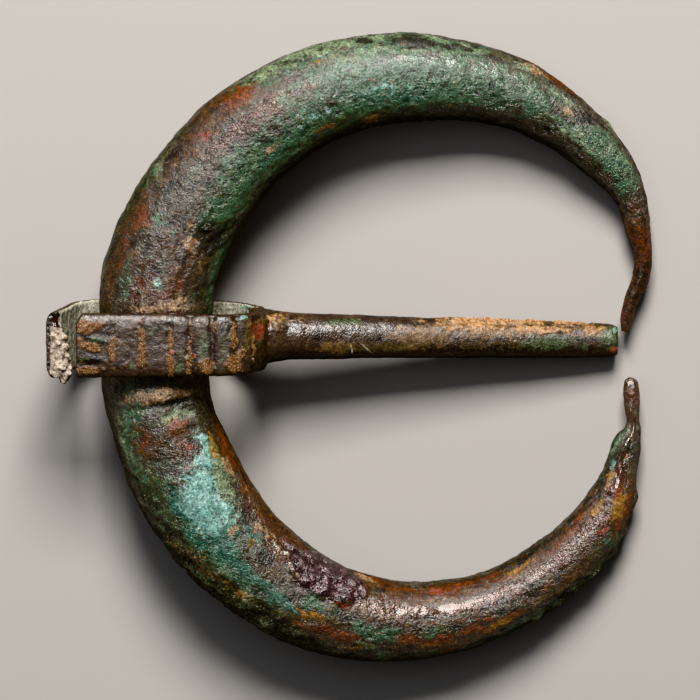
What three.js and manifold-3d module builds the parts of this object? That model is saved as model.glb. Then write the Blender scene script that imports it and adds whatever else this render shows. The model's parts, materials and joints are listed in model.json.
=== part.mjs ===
// A penannular brooch of cast copper alloy: a thick crescent hoop, open at one side, with the pin
// that rides on it. It lies on its back. Millimetres, +Z up, origin at the middle of its footprint.
import * as THREE from "three";
import { mergeVertices } from "three/addons/utils/BufferGeometryUtils.js";
import Module from "manifold-3d";

const wasm = await Module();
wasm.setup();

// Driving dimensions. The pin swings about a line along Y through the middle of the hoop's
// section, the "pivot", and every place below is measured from it.
const hoopRadiusAtPin = 4.5; // half the hoop's thickness where the pin's head holds it
const play = 0.4; // clearance between the hoop and the head, on each side
const bandThickness = 1.0; // the strap that the head is bent from
const bandHalfWidth = 2.5; // half the strap's width, over the pivot
const bandFlare = 0.012; // how much wider each half gets for each millimetre away from the shank
const bandChamfer = 0.22; // worn long edges of the strap
const shankTipRadius = 1.3; // half the broken pin's thickness at its end
const shankRootX = 7.1; // the fork where the strap's two stretches meet the shank
const shankTipX = 36.95; // the broken end of the shank

// The strap's mid-surface lies this far in front of and behind the pivot, and the pivot this high.
const bandLevel = hoopRadiusAtPin + play + bandThickness / 2;
const pivotHeight = bandLevel + bandThickness / 2;

// The hoop's centreline and half-thickness, [x, y, radius], from the upper tip round to the lower.
const hoopStations = [
  [37.75, 0.1, 0.3], // upper terminal, drawn out thin and broken
  [37.85, 1.0, 0.5],
  [38.25, 2.6, 0.7],
  [39.0, 4.4, 0.72],
  [39.15, 6.4, 0.75],
  [38.75, 8.3, 1.0],
  [38.15, 10.9, 1.26],
  [36.2, 13.9, 1.88],
  [29.8, 18.85, 2.7],
  [22.05, 20.7, 3.42],
  [14.6, 19.95, 3.8],
  [8.1, 16.75, 4.1],
  [3.3, 11.7, 4.37],
  [0.35, 5.8, 4.48],
  [-0.25, -0.5, hoopRadiusAtPin],
  [0.1, -5.6, 4.23], // worn to a slight waist beside the pin's head
  [2.5, -11.8, 4.4],
  [6.6, -17.45, 4.1],
  [12.7, -21.7, 3.74],
  [20.25, -23.25, 3.2],
  [27.85, -21.65, 2.72],
  [34.3, -17.1, 2.32],
  [36.65, -13.6, 1.92],
  [37.45, -11.0, 1.3],
  [38.0, -8.9, 1.13],
  [38.35, -8.0, 0.74],
  [38.4, -7.1, 0.55], // neck under the lower terminal's stub
  [38.3, -5.4, 0.66],
  [38.25, -4.35, 0.56],
  [38.2, -3.7, 0.24],
];

// The shank's centreline and half-thickness, [x, y, half width, half depth], from head to tip.
const shankStations = [
  [shankRootX, 0.1, 2.25, 0.8],
  [7.5, 0.1, 2.3, 1.7],
  [8.3, 0.1, 2.27, 2.3],
  [9.3, 0.1, 2.06, 2.2],
  [10.5, 0.1, 1.88, 1.92],
  [12, 0.05, 1.84, 1.82],
  [14.5, 0, 1.8, 1.76],
  [18, -0.1, 1.68, 1.66],
  [22, -0.25, 1.6, 1.6],
  [26, -0.35, 1.57, 1.54],
  [30, -0.5, 1.5, 1.47],
  [34, -0.65, 1.4, 1.38],
  [36.5, -0.72, shankTipRadius, shankTipRadius],
  [shankTipX, -0.74, 1.1, 1.1],
];

// Carved lines across the front of the strap: [x, width, depth].
const carvedLines = [
  [-3.4, 0.55, 0.2],
  [-1.1, 0.65, 0.24],
  [1.1, 0.6, 0.22],
  [2.75, 0.7, 0.24],
  [4.5, 0.75, 0.26],
  [6.45, 0.95, 0.32],
  [7.95, 0.75, 0.28],
];

const hoopSides = 24;
const shankSides = 20;
const hoopStepsPerStation = 3;
const shankSteps = 30;
const bandSteps = 10; // steps along each curved stretch of the strap

const up = new THREE.Vector3(0, 0, 1);
const across = new THREE.Vector3(0, 1, 0);

// A closed solid through rings of points that run the same way round, with a flat cap at each end.
function loft(rings) {
  const sides = rings[0].length;
  const middle = (ring) =>
    ring.reduce((sum, p) => sum.add(p), new THREE.Vector3()).divideScalar(sides);
  const last = rings.length - 1;
  const points = [...rings.flat(), middle(rings[0]), middle(rings[last])];
  const startCap = rings.length * sides;
  const faces = [];
  for (let j = 0; j < sides; j++) {
    const k = (j + 1) % sides;
    for (let i = 0; i < last; i++) {
      const [a, b] = [i * sides + j, i * sides + k];
      faces.push(a, b, b + sides, a, b + sides, a + sides);
    }
    faces.push(startCap, k, j);
    faces.push(startCap + 1, last * sides + j, last * sides + k);
  }
  return new THREE.BufferGeometry().setFromPoints(points).setIndex(faces);
}

// Carries a section along a path that runs square to `binormal`. Each stop on the path has a point,
// a tangent and the section's own points, as [sideways, along binormal] pairs.
function sweep(stops, binormal) {
  return loft(
    stops.map(({ point, tangent, section }) => {
      const side = binormal.clone().cross(tangent).normalize();
      return section.map(([s, b]) =>
        point.clone().addScaledVector(side, s).addScaledVector(binormal, b),
      );
    }),
  );
}

function oval(halfSide, halfWidth, sides) {
  return Array.from({ length: sides }, (_, i) => {
    const angle = (2 * Math.PI * i) / sides;
    return [halfSide * Math.cos(angle), halfWidth * Math.sin(angle)];
  });
}

function chamferedBar(halfSide, halfWidth, chamfer) {
  const [s, w] = [halfSide - chamfer, halfWidth - chamfer];
  return [
    [halfSide, -w],
    [halfSide, w],
    [s, halfWidth],
    [-s, halfWidth],
    [-halfSide, w],
    [-halfSide, -w],
    [-s, -halfWidth],
    [s, -halfWidth],
  ];
}

// A closed three.js geometry as a manifold solid, for joining and cutting.
function toSolid(geometry) {
  const bare = geometry.clone().deleteAttribute("normal").deleteAttribute("uv");
  const merged = mergeVertices(bare, 1e-4);
  const mesh = new wasm.Mesh({
    numProp: 3,
    vertProperties: merged.attributes.position.array,
    triVerts: new Uint32Array(merged.index.array),
  });
  return new wasm.Manifold(mesh);
}

function toGeometry(solid) {
  const { vertProperties, triVerts } = solid.getMesh();
  const geometry = new THREE.BufferGeometry();
  geometry.setAttribute("position", new THREE.BufferAttribute(vertProperties, 3));
  geometry.setIndex(new THREE.BufferAttribute(triVerts, 1));
  geometry.computeVertexNormals();
  return geometry;
}

// The hoop: a round rod that swells from two thin terminals to its thickest at the pin.
// The curve's third coordinate carries the radius.
function hoopStops() {
  const curve = new THREE.CatmullRomCurve3(hoopStations.map((s) => new THREE.Vector3(...s)));
  const steps = (hoopStations.length - 1) * hoopStepsPerStation;
  return Array.from({ length: steps + 1 }, (_, i) => {
    const { x, y, z: radius } = curve.getPoint(i / steps);
    const tangent = curve.getTangent(i / steps).setZ(0).normalize();
    return { point: new THREE.Vector3(x, y, 0), tangent, radius };
  });
}

function makeHoop(stops) {
  const sections = stops.map((stop) => ({
    ...stop,
    section: oval(stop.radius, stop.radius, hoopSides),
  }));
  return sweep(sections, up);
}

// The hoop leans on the head, so that its far side comes down to the ground.
function hoopLean(stops) {
  const beyondHead = stops.filter(({ point }) => point.x > shankRootX);
  const leans = beyondHead.map(({ point, radius }) => Math.asin((pivotHeight - radius) / point.x));
  return Math.min(...leans);
}

// The shank slopes down from the middle of the head until its tip rests on the ground.
function shankHeight(x) {
  const fallen = (x - shankRootX) / (shankTipX - shankRootX);
  return -fallen * (pivotHeight - shankTipRadius);
}

function makeShank() {
  const line = (a, b) =>
    new THREE.CatmullRomCurve3(
      shankStations.map((s) => new THREE.Vector3(s[0], s[a], b ? s[b] : 0)),
    );
  const [centre, halves] = [line(1, 0), line(2, 3)];
  const stops = Array.from({ length: shankSteps + 1 }, (_, i) => {
    const t = i / shankSteps;
    const { x, y } = centre.getPoint(t);
    const { y: halfWidth, z: halfDepth } = halves.getPoint(t);
    return {
      point: new THREE.Vector3(x, y, shankHeight(x)),
      tangent: new THREE.Vector3(1, 0, shankHeight(1) - shankHeight(0)).normalize(),
      section: oval(halfDepth, halfWidth, shankSides),
    };
  });
  return sweep(stops, across);
}

// The strap's two stretches seen along the pivot line, x to the shank and y up from the pivot.
const frontPath = new THREE.Path()
  .moveTo(-6.45, bandLevel)
  .lineTo(4.8, bandLevel)
  .quadraticCurveTo(7.4, bandLevel, 8.35, 1.5);

const backPath = new THREE.Path()
  .moveTo(8.3, -1.2)
  .quadraticCurveTo(6.7, -bandLevel, 3.7, -bandLevel)
  .lineTo(-3.9, -bandLevel)
  .quadraticCurveTo(-6.2, -bandLevel, -7, -2.2)
  .quadraticCurveTo(-7.6, 0.6, -8.45, 5.2);

function makeBand(path) {
  const stops = path.curves.flatMap((curve, index) => {
    const steps = curve.isLineCurve ? 1 : bandSteps;
    const first = index === 0 ? 0 : 1; // each further stretch starts where the last one ended
    return Array.from({ length: steps + 1 - first }, (_, i) => {
      const [p, t] = [curve.getPoint((i + first) / steps), curve.getTangent((i + first) / steps)];
      const halfWidth = bandHalfWidth - bandFlare * p.x;
      return {
        point: new THREE.Vector3(p.x, 0, p.y),
        tangent: new THREE.Vector3(t.x, 0, t.y),
        section: chamferedBar(bandThickness / 2, halfWidth, bandChamfer),
      };
    });
  });
  return sweep(stops, across);
}

// Where a carved line at x meets the strap's outer face, and the face's outward direction there.
function frontFaceAt(x) {
  const points = frontPath.getSpacedPoints(200);
  const i = points.findIndex((p) => p.x >= x);
  const slope = new THREE.Vector2().subVectors(points[i], points[i - 1]).normalize();
  const outward = new THREE.Vector2(-slope.y, slope.x);
  return { face: points[i].clone().addScaledVector(outward, bandThickness / 2), outward };
}

// A round-bottomed groove right across the strap, cut by a rod of the radius that gives its width.
function carvedLine([x, width, depth]) {
  const radius = (width * width) / (8 * depth) + depth / 2;
  const { face, outward } = frontFaceAt(x);
  const axis = face.clone().addScaledVector(outward, radius - depth);
  const rod = new THREE.CylinderGeometry(radius, radius, 4 * bandHalfWidth, 16);
  return toSolid(rod.translate(axis.x, 0, axis.y));
}

// The broken free end of the front strap has lost its upper corner, along a slanting line.
function brokenCorner() {
  const corner = new THREE.BoxGeometry(1.6, 0.8, 3 * bandThickness);
  return toSolid(corner.rotateZ(1.02).translate(-6.5, 2.24, bandLevel));
}

function makePin() {
  const head = toSolid(makeBand(frontPath)).add(toSolid(makeBand(backPath)));
  const whole = head.add(toSolid(makeShank()));
  const cuts = [...carvedLines.map(carvedLine), brokenCorner()];
  return toGeometry(cuts.reduce((solid, cut) => solid.subtract(cut), whole));
}

const patinatedBronze = new THREE.MeshStandardMaterial({
  color: 0x4f5f4c,
  roughness: 0.55,
  metalness: 0.45,
});
const wornBronze = new THREE.MeshStandardMaterial({
  color: 0x54453a,
  roughness: 0.45,
  metalness: 0.55,
});

const stops = hoopStops();
const hoop = new THREE.Mesh(makeHoop(stops), patinatedBronze);
hoop.name = "hoop";
hoop.rotation.y = hoopLean(stops);

const pin = new THREE.Mesh(makePin(), wornBronze);
pin.name = "pin";

const pieces = new THREE.Group().add(hoop, pin);
const brooch = new THREE.Group().add(pieces);

// Move the pivot so that the brooch stands on z = 0 with its footprint centred on the origin.
const extent = new THREE.Box3().setFromObject(brooch, true);
const footprint = extent.getCenter(new THREE.Vector3());
pieces.position.set(-footprint.x, -footprint.y, pivotHeight);

export default brooch;
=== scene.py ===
import json
import math

import bmesh
import bpy
import numpy as np
from mathutils import Matrix, Vector, noise


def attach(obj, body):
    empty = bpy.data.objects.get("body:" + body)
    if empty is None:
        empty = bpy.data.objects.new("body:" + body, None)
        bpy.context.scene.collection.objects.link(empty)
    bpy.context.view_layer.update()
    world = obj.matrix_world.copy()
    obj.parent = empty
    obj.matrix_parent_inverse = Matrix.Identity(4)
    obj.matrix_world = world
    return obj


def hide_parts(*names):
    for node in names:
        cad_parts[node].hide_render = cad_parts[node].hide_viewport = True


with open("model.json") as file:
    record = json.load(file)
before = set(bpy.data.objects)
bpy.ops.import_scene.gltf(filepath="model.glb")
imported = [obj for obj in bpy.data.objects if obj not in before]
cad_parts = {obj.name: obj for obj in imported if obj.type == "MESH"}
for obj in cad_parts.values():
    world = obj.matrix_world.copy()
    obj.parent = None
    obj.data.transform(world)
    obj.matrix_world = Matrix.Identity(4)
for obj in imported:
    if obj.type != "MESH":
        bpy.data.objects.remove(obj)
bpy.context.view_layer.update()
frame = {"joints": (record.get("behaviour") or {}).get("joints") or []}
mm = 0.001
pivot = np.array(frame["joints"][0]["pos_m"]) / mm  # where the pin turns, inside the hoop
print("frame loaded, pivot at", pivot.round(3), "mm")


# Small helpers. Sizes are in millimetres up to the moment a mesh is written.
def tint(code):  # "#rrggbb" to the linear colour that a shader socket takes
    parts = [int(code[i:i + 2], 16) / 255 for i in (1, 3, 5)]
    return tuple(c / 12.92 if c <= 0.04045 else ((c + 0.055) / 1.055) ** 2.4 for c in parts) + (1.0,)


def addNode(tree, kind, inputs=None, **settings):  # a socket is linked, anything else is set
    node = tree.nodes.new(kind)
    for name, value in settings.items():
        setattr(node, name, value)
    for key, value in (inputs or {}).items():
        if isinstance(value, bpy.types.NodeSocket):
            tree.links.new(value, node.inputs[key])
        else:
            node.inputs[key].default_value = value
    return node


def wander(points, size, octaves=3, seed=0.0):  # fractal noise, about -1 to 1, size in mm
    shifted = points / size + np.array([seed * 7.31, seed * 3.17, seed * 5.73])
    return np.array([noise.fractal(p, 0.8, 2.1, octaves) for p in shifted.tolist()])


def ramp(low, high, value):
    t = np.clip((value - low) / (high - low), 0, 1)
    return t * t * (3 - 2 * t)


def bell(value, middle, width):  # 1 in the middle, a half at width / 2 from it
    return np.exp(-0.693 * (2 * (value - middle) / width) ** 2)


def readPoints(mesh):  # in mm
    flat = np.zeros(len(mesh.vertices) * 3, np.float32)
    mesh.vertices.foreach_get("co", flat)
    return flat.reshape(-1, 3).astype(float) / mm


def readField(mesh, name):
    values = np.zeros(len(mesh.vertices), np.float32)
    mesh.attributes[name].data.foreach_get("value", values)
    return values.astype(float)


def readNormals(mesh):
    flat = np.zeros(len(mesh.vertices) * 3, np.float32)
    mesh.vertices.foreach_get("normal", flat)
    return flat.reshape(-1, 3).astype(float)


def writePoints(mesh, points):
    mesh.vertices.foreach_set("co", (points * mm).astype(np.float32).ravel())
    mesh.update()


def writeField(mesh, name, values):
    layer = mesh.attributes.get(name) or mesh.attributes.new(name, "FLOAT", "POINT")
    layer.data.foreach_set("value", np.clip(values, -1, 2).astype(np.float32))


def linkObject(name, data):
    made = bpy.data.objects.new(name, data)
    bpy.context.scene.collection.objects.link(made)
    return made


def bakeToMesh(source, name):  # the evaluated shape as a plain mesh object
    bpy.context.view_layer.update()
    graph = bpy.context.evaluated_depsgraph_get()
    mesh = bpy.data.meshes.new_from_object(source.evaluated_get(graph), depsgraph=graph)
    bpy.data.objects.remove(source)
    mesh.name = name
    return linkObject(name, mesh)


def newTree(name, inputs):  # a Geometry Nodes tree: {label: (socket type, default)}
    tree = bpy.data.node_groups.new(name, "GeometryNodeTree")
    tree.interface.new_socket("Geometry", in_out="INPUT", socket_type="NodeSocketGeometry")
    tree.interface.new_socket("Geometry", in_out="OUTPUT", socket_type="NodeSocketGeometry")
    for label, (kind, default) in inputs.items():
        socket = tree.interface.new_socket(label, in_out="INPUT", socket_type=kind)
        if default is not None:
            socket.default_value = default
    return tree, tree.nodes.new("NodeGroupInput"), tree.nodes.new("NodeGroupOutput")


def useTree(target, tree, values):  # an input is set by its socket's identifier
    modifier = target.modifiers.new(tree.name, "NODES")
    modifier.node_group = tree
    for socket in tree.interface.items_tree:
        if socket.in_out == "INPUT" and socket.name in values:
            modifier[socket.identifier] = values[socket.name]


# Where a corrosion product lies. A spot is (u, v, length along u, width along v[, turned by
# degrees[, strength]]): full in its middle, a half at its edge. The strongest spot counts.
def spread(spots, u, v):
    field = np.zeros(len(u))
    for spot in spots:
        cu, cv, length, width = spot[:4]
        slant = math.radians(spot[4]) if len(spot) > 4 else 0.0
        strength = spot[5] if len(spot) > 5 else 1.0
        du, dv = u - cu, v - cv
        a = du * math.cos(slant) + dv * math.sin(slant)
        b = dv * math.cos(slant) - du * math.sin(slant)
        fall = np.exp(-0.693 * ((2 * a / length) ** 2 + (2 * b / width) ** 2))
        field = np.maximum(field, strength * fall)
    return field


# The studio: a pale floor, one soft light beyond the far edge, a fill, and a camera that looks
# down with a small tilt.
studio = {
    "tilt": math.radians(6.5),
    "aim": (15.36, -0.96),  # mm right of and above the pivot, in the view
    "away": 500.0,  # mm from the camera to that point
    "span": 56.0,  # mm of the object's plane across the frame
    "floor": "#a5a29d",
    "world": 0.09,
    "lamps": {  # name: (place in m, side in m, watts, colour)
        "keyLight": ((0.01, 0.33, 0.33), 0.17, 4.6, "#fcf7f4"),
        "fillLight": ((-0.15, 0.12, 0.45), 0.40, 0.45, "#f0f4ff"),
    },
}


def buildStudio():
    scene = bpy.context.scene
    sight = Vector((0, math.sin(studio["tilt"]), math.cos(studio["tilt"])))
    up = Vector((0, math.cos(studio["tilt"]), -math.sin(studio["tilt"])))
    target = (Vector(pivot) + Vector((1, 0, 0)) * studio["aim"][0] + up * studio["aim"][1]) * mm
    lens = bpy.data.cameras.new("cameraLens")
    lens.sensor_width = 36
    lens.lens = 36 * studio["away"] / studio["span"]
    lens.clip_start = 0.01
    lens.clip_end = 10
    camera = linkObject("camera", lens)
    turn = Matrix((Vector((1, 0, 0)), up, sight)).transposed().to_4x4()
    camera.matrix_world = Matrix.Translation(target + sight * studio["away"] * mm) @ turn
    scene.camera = camera

    for name, (where, side, watts, colour) in studio["lamps"].items():
        light = bpy.data.lights.new(name, "AREA")
        light.shape = "SQUARE"
        light.size = side
        light.energy = watts
        light.color = tint(colour)[:3]
        lamp = linkObject(name, light)
        lamp.location = where
        lamp.rotation_euler = (target - Vector(where)).to_track_quat("-Z", "Y").to_euler()

    world = bpy.data.worlds.new("studioWorld")
    world.use_nodes = True
    world.node_tree.nodes["Background"].inputs["Color"].default_value = tint("#f2f2f2")
    world.node_tree.nodes["Background"].inputs["Strength"].default_value = studio["world"]
    scene.world = world

    floorMesh = bpy.data.meshes.new("floor")
    half = 0.9
    floorMesh.from_pydata([(-half, -half, 0), (half, -half, 0), (half, half, 0), (-half, half, 0)],
                          [], [(0, 1, 2, 3)])
    floor = linkObject("floor", floorMesh)
    # card with a matt emulsion rolled on: an even pale tone that takes soft shadows and no glints
    board = bpy.data.materials.new("mattStudioBoard")
    board.use_nodes = True
    shader = board.node_tree.nodes["Principled BSDF"]
    shader.inputs["Base Color"].default_value = tint(studio["floor"])
    shader.inputs["Roughness"].default_value = 0.8
    floorMesh.materials.append(board)
    scene.view_settings.view_transform = "Khronos PBR Neutral"


buildStudio()
print("studio set")


# Each product lies over what is under it. Its field comes from the mesh; noise breaks up its
# outline and moves its colour between two tints, and it brings its own roughness and metal.
def layProduct(tree, where, colour, rough, metal, product):
    # cover is the most that it hides; grain and mottle are sizes in mm; ragged and soft are its edge's
    name, deep, pale, ownRough, ownMetal, cover, grain, ragged, soft, mottle = product
    field = addNode(tree, "ShaderNodeAttribute", attribute_name=name).outputs["Fac"]
    edgeNoise = addNode(tree, "ShaderNodeTexNoise", {
        "Vector": where, "Scale": 1 / (grain * mm), "Detail": 6.0, "Roughness": 0.82}).outputs["Fac"]
    spanned = addNode(tree, "ShaderNodeMapRange", {
        "Value": edgeNoise, "From Min": 0.30, "From Max": 0.70}).outputs["Result"]
    pushed = addNode(tree, "ShaderNodeMath", {0: spanned, 1: ragged, 2: field},
                     operation="MULTIPLY_ADD").outputs[0]
    edge = 0.5 + ragged / 2
    mask = addNode(tree, "ShaderNodeMapRange", {
        "Value": pushed, "From Min": edge - soft, "From Max": edge + soft, "To Max": cover},
        interpolation_type="SMOOTHSTEP").outputs["Result"]
    mottled = addNode(tree, "ShaderNodeTexNoise", {
        "Vector": where, "Scale": 1 / (mottle * mm), "Detail": 5.0, "Roughness": 0.75}).outputs["Fac"]
    blend = addNode(tree, "ShaderNodeMapRange", {
        "Value": mottled, "From Min": 0.36, "From Max": 0.64}).outputs["Result"]
    own = addNode(tree, "ShaderNodeMix", {
        "Factor": blend, 6: tint(deep), 7: tint(pale)}, data_type="RGBA").outputs[2]
    over = addNode(tree, "ShaderNodeMix", {"Factor": mask, 6: colour, 7: own}, data_type="RGBA")
    matt = addNode(tree, "ShaderNodeMix", {"Factor": mask, 2: rough, 3: ownRough}, data_type="FLOAT")
    bare = addNode(tree, "ShaderNodeMix", {"Factor": mask, 2: metal, 3: ownMetal}, data_type="FLOAT")
    return over.outputs[2], matt.outputs[0], bare.outputs[0]


def makeCorroded(finish):  # a corroded copper-alloy skin; its patterns' sizes are in mm
    material = bpy.data.materials.new(finish["name"])
    material.use_nodes = True
    tree = material.node_tree
    shader = tree.nodes["Principled BSDF"]
    where = addNode(tree, "ShaderNodeTexCoord").outputs["Object"]
    relief, paintedShade, shine, polish, calm = (
        addNode(tree, "ShaderNodeAttribute", attribute_name=name).outputs["Fac"]
        for name in ("relief", "paintedShade", "shine", "polish", "calm"))
    broad = addNode(tree, "ShaderNodeTexNoise", {
        "Vector": where, "Scale": 1 / (finish["clouds"] * mm), "Detail": 7.0, "Roughness": 0.8,
    }).outputs["Fac"]
    clouded = addNode(tree, "ShaderNodeMapRange", {
        "Value": broad, "From Min": 0.34, "From Max": 0.66}).outputs["Result"]
    colour = addNode(tree, "ShaderNodeMix", {
        "Factor": clouded, 6: tint(finish["deep"]), 7: tint(finish["pale"])}, data_type="RGBA").outputs[2]
    rough = addNode(tree, "ShaderNodeMapRange", {
        "Value": broad, "From Min": 0.3, "From Max": 0.7,
        "To Min": finish["rough"][0], "To Max": finish["rough"][1]}).outputs["Result"]
    metal = addNode(tree, "ShaderNodeMapRange", {
        "Value": broad, "From Min": 0.4, "From Max": 0.6, "To Min": 0.2 * finish["metal"],
        "To Max": finish["metal"]}).outputs["Result"]
    for product in finish["products"]:
        colour, rough, metal = layProduct(tree, where, colour, rough, metal, product)

    # colour: hollows hold dark dirt, rubbed high places are paler, every place is finely speckled
    speckle = addNode(tree, "ShaderNodeTexNoise", {
        "Vector": where, "Scale": 1 / (finish["speckle"] * mm), "Detail": 3.0, "Roughness": 0.75,
        "Distortion": 0.8}).outputs["Fac"]
    fleck = addNode(tree, "ShaderNodeMapRange", {
        "Value": speckle, "From Min": 0.34, "From Max": 0.68,
        "To Min": finish["flecks"][0], "To Max": finish["flecks"][1]}).outputs["Result"]
    rubbed = addNode(tree, "ShaderNodeMapRange", {
        "Value": relief, "From Min": -0.5, "From Max": 0.5, "To Min": 0.45, "To Max": 1.3}).outputs["Result"]
    # painted shade: the colour is darkened by up to 0.62 on faces turned from the light
    paintedShadeScale = addNode(tree, "ShaderNodeMath", {0: paintedShade, 1: -0.62, 2: 1.0},
                    operation="MULTIPLY_ADD").outputs[0]
    lit = addNode(tree, "ShaderNodeMath", {0: fleck, 1: rubbed}, operation="MULTIPLY").outputs[0]
    value = addNode(tree, "ShaderNodeMath", {0: lit, 1: paintedShadeScale}, operation="MULTIPLY").outputs[0]
    shaded = addNode(tree, "ShaderNodeVectorMath", {0: colour, "Scale": value},
                     operation="SCALE").outputs[0]
    deepened = addNode(tree, "ShaderNodeHueSaturation", {
        "Color": shaded, "Saturation": finish["richness"]}).outputs["Color"]

    # gloss: rubbed places are smoother, and metal and wax show only where the skin faces up or down
    buffed = addNode(tree, "ShaderNodeMath", {0: polish, 1: -0.38, 2: 1.0},
                     operation="MULTIPLY_ADD").outputs[0]
    smoother = addNode(tree, "ShaderNodeMath", {0: rough, 1: buffed}, operation="MULTIPLY").outputs[0]
    barer = addNode(tree, "ShaderNodeMath", {0: metal, 1: shine}, operation="MULTIPLY").outputs[0]
    gloss = addNode(tree, "ShaderNodeMath", {0: shine, 1: 0.9}, operation="MULTIPLY").outputs[0]
    waxed = addNode(tree, "ShaderNodeMapRange", {
        "Value": rough, "From Min": 0.32, "From Max": 0.58,
        "To Min": finish["wax"], "To Max": 0.12}).outputs["Result"]
    film = addNode(tree, "ShaderNodeMath", {0: waxed, 1: shine}, operation="MULTIPLY").outputs[0]

    # bump: pits and grit too fine for the mesh, weaker where the skin is calm
    height = addNode(tree, "ShaderNodeTexNoise", {
        "Vector": where, "Scale": 1 / (finish["pitting"] * mm), "Detail": 4.0, "Roughness": 0.7,
    }).outputs["Fac"]
    fine = addNode(tree, "ShaderNodeTexNoise", {
        "Vector": where, "Scale": 1 / (finish["grit"] * mm), "Detail": 2.0, "Roughness": 0.6,
        "Distortion": 0.6}).outputs["Fac"]
    worn = addNode(tree, "ShaderNodeMath", {0: calm, 1: -0.7, 2: 1.0}, operation="MULTIPLY_ADD").outputs[0]
    coarse = addNode(tree, "ShaderNodeBump", {
        "Strength": worn, "Distance": finish["pitDepth"] * mm, "Height": height}).outputs["Normal"]
    normal = addNode(tree, "ShaderNodeBump", {
        "Strength": worn, "Distance": finish["gritDepth"] * mm, "Height": fine,
        "Normal": coarse}).outputs["Normal"]

    for socket, source in {
        "Base Color": deepened, "Roughness": smoother, "Metallic": barer, "Specular IOR Level": gloss,
        "Coat Weight": film, "Normal": normal, "Coat Normal": normal,
    }.items():
        tree.links.new(source, shader.inputs[socket])
    shader.inputs["Coat Roughness"].default_value = 0.16
    return material


# Painted shade on faces turned from the light (up and towards +Y), and wax that shines on upper faces.
def paintedShadeAndWax(mesh):
    normals = readNormals(mesh)
    facing = normals @ np.array([0, 0.62, 0.78])  # up, and towards +Y
    # painted shade: 1 on faces turned from the light, where the colour is darkened; only faces seen from
    # above
    paintedShade = ramp(0.35, -0.15, facing) * ramp(-0.75, -0.2, normals[:, 2])
    shine = (0.12 + 0.88 * ramp(0.35, 0.9, np.abs(normals[:, 2]))) * (1 - 0.7 * paintedShade)
    return {"paintedShade": paintedShade, "shine": shine}


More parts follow.
